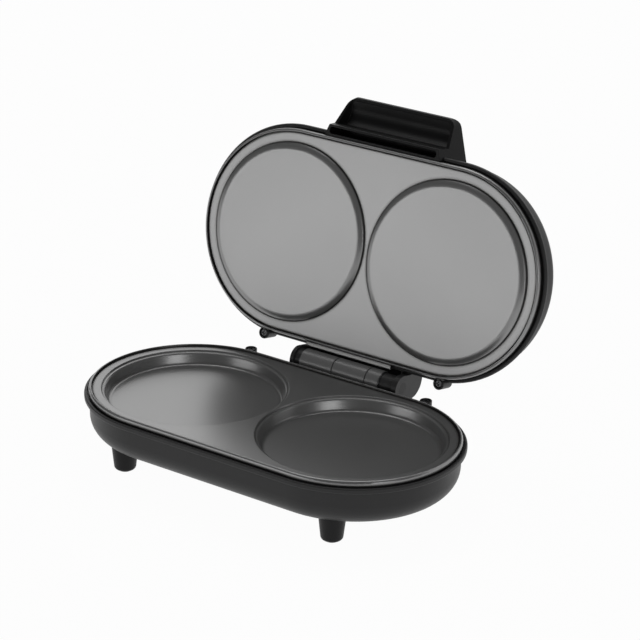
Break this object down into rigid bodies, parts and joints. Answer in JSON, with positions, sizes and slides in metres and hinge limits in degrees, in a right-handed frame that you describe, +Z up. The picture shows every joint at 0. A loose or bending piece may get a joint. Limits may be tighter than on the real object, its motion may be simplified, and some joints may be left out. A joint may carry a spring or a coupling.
{
  "type": "pancake maker",
  "caption": "Countertop pancake maker with round wells side by side, a hinged lid with raised discs, a scooped handle and short feet.",
  "frame": {"origin": "table level under the middle of the outline of the part with its lid open", "axes": "+X along the two wells to the right as seen from the front, +Y to the hinge at the back, +Z up"},
  "size_m": [0.2676, 0.2176, 0.213],
  "materials": {
    "casing_plastic": "fine satin texture, black",
    "handle_plastic": "satin, black",
    "plate_coating": "cast aluminium under a dark grey non-stick coating",
    "hinge_plastic": "glass-filled, satin, black",
    "screw_steel": "plain steel",
    "element_steel": "annealed sheath",
    "base_reflector_steel": "mill finish",
    "lid_reflector_aluminium": "mill finish",
    "control_plastic": "moulded, dark",
    "feet_plastic": "satin, black",
    "pad_rubber": "matte",
    "lead_sleeve": "woven sleeve",
    "lamp_glass": "clear, neon",
    "power_lens_red": "tinted, clear",
    "ready_lens_green": "tinted, clear"
  },
  "bodies": {
    "base": {"base_element_left": "element_steel", "base_element_right": "element_steel", "base_lead": "lead_sleeve", "base_plate": "plate_coating", "base_plate_screws": "screw_steel", "base_reflector_left": "base_reflector_steel", "base_reflector_right": "base_reflector_steel", "base_reflector_screws": "screw_steel", "base_shell": "casing_plastic", "base_thermostat": "control_plastic", "cord_gland": "pad_rubber", "foot_front_left": "feet_plastic", "foot_front_right": "feet_plastic", "foot_pad_front_left": "pad_rubber", "foot_pad_front_right": "pad_rubber", "foot_pad_rear_left": "pad_rubber", "foot_pad_rear_right": "pad_rubber", "foot_rear_left": "feet_plastic", "foot_rear_right": "feet_plastic", "foot_screws": "screw_steel", "hinge_barrel": "hinge_plastic", "hinge_barrel_screws": "screw_steel", "terminal_block": "control_plastic", "thermal_fuse": "control_plastic"},
    "lid": {"hinge_pin_caps": "control_plastic", "hinge_pins": "screw_steel", "hinge_washers": "screw_steel", "lamp_bracket": "control_plastic", "lid_element_left": "element_steel", "lid_element_right": "element_steel", "lid_handle": "handle_plastic", "lid_handle_screws": "screw_steel", "lid_lead": "lead_sleeve", "lid_plate": "plate_coating", "lid_plate_screws": "screw_steel", "lid_reflector_left": "lid_reflector_aluminium", "lid_reflector_right": "lid_reflector_aluminium", "lid_reflector_screws": "screw_steel", "lid_shell": "casing_plastic", "lid_thermostat": "control_plastic", "power_lamp": "lamp_glass", "power_lens": "power_lens_red", "ready_lamp": "lamp_glass", "ready_lens": "ready_lens_green"}
  },
  "joints": [
    {"name": "lid_hinge", "type": "hinge", "parent": "base", "child": "lid", "pos_m": [0, 0.0443, 0.0461], "axis": [1, 0, 0], "range_deg": [0, 102.3]}
  ]
}
